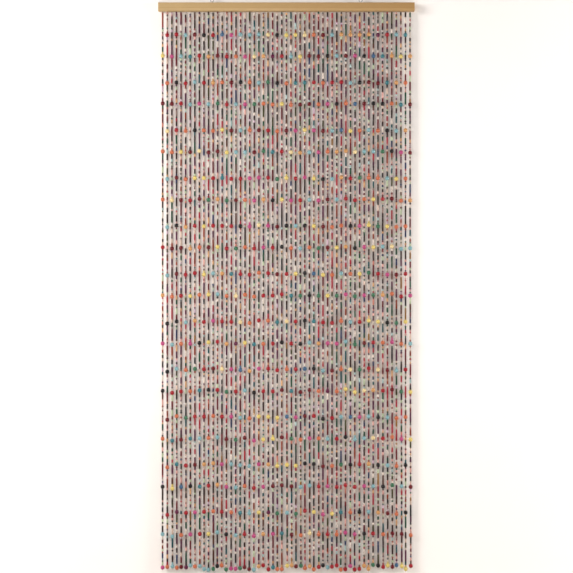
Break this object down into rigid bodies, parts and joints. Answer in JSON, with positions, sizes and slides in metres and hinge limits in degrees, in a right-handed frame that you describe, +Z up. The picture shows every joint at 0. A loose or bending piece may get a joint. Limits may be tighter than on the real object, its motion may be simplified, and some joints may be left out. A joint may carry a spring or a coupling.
{
  "type": "wooden bead door curtain with its hanging bar",
  "caption": "Door curtain of wooden beads on strings that hang from a wooden bar with screw eyes on top.",
  "frame": {"origin": "midway between the two screw eyes, at the middle of their holes, where hooks hold them", "axes": "+Z up, +X to the right of someone who faces the front, and the front faces -Y"},
  "size_m": [0.9, 0.02, 2.0165],
  "materials": {
    "bar_wood": "satin oiled pine",
    "eye_steel": "zinc plated",
    "bead_wood": "stained and lacquered beads"
  },
  "bodies": {
    "root": {"bar": "bar_wood", "screw_eye_left": "eye_steel", "screw_eye_right": "eye_steel", "strings_1": "bead_wood", "strings_2": "bead_wood", "strings_3": "bead_wood", "strings_4": "bead_wood", "strings_5": "bead_wood"}
  },
  "joints": []
}
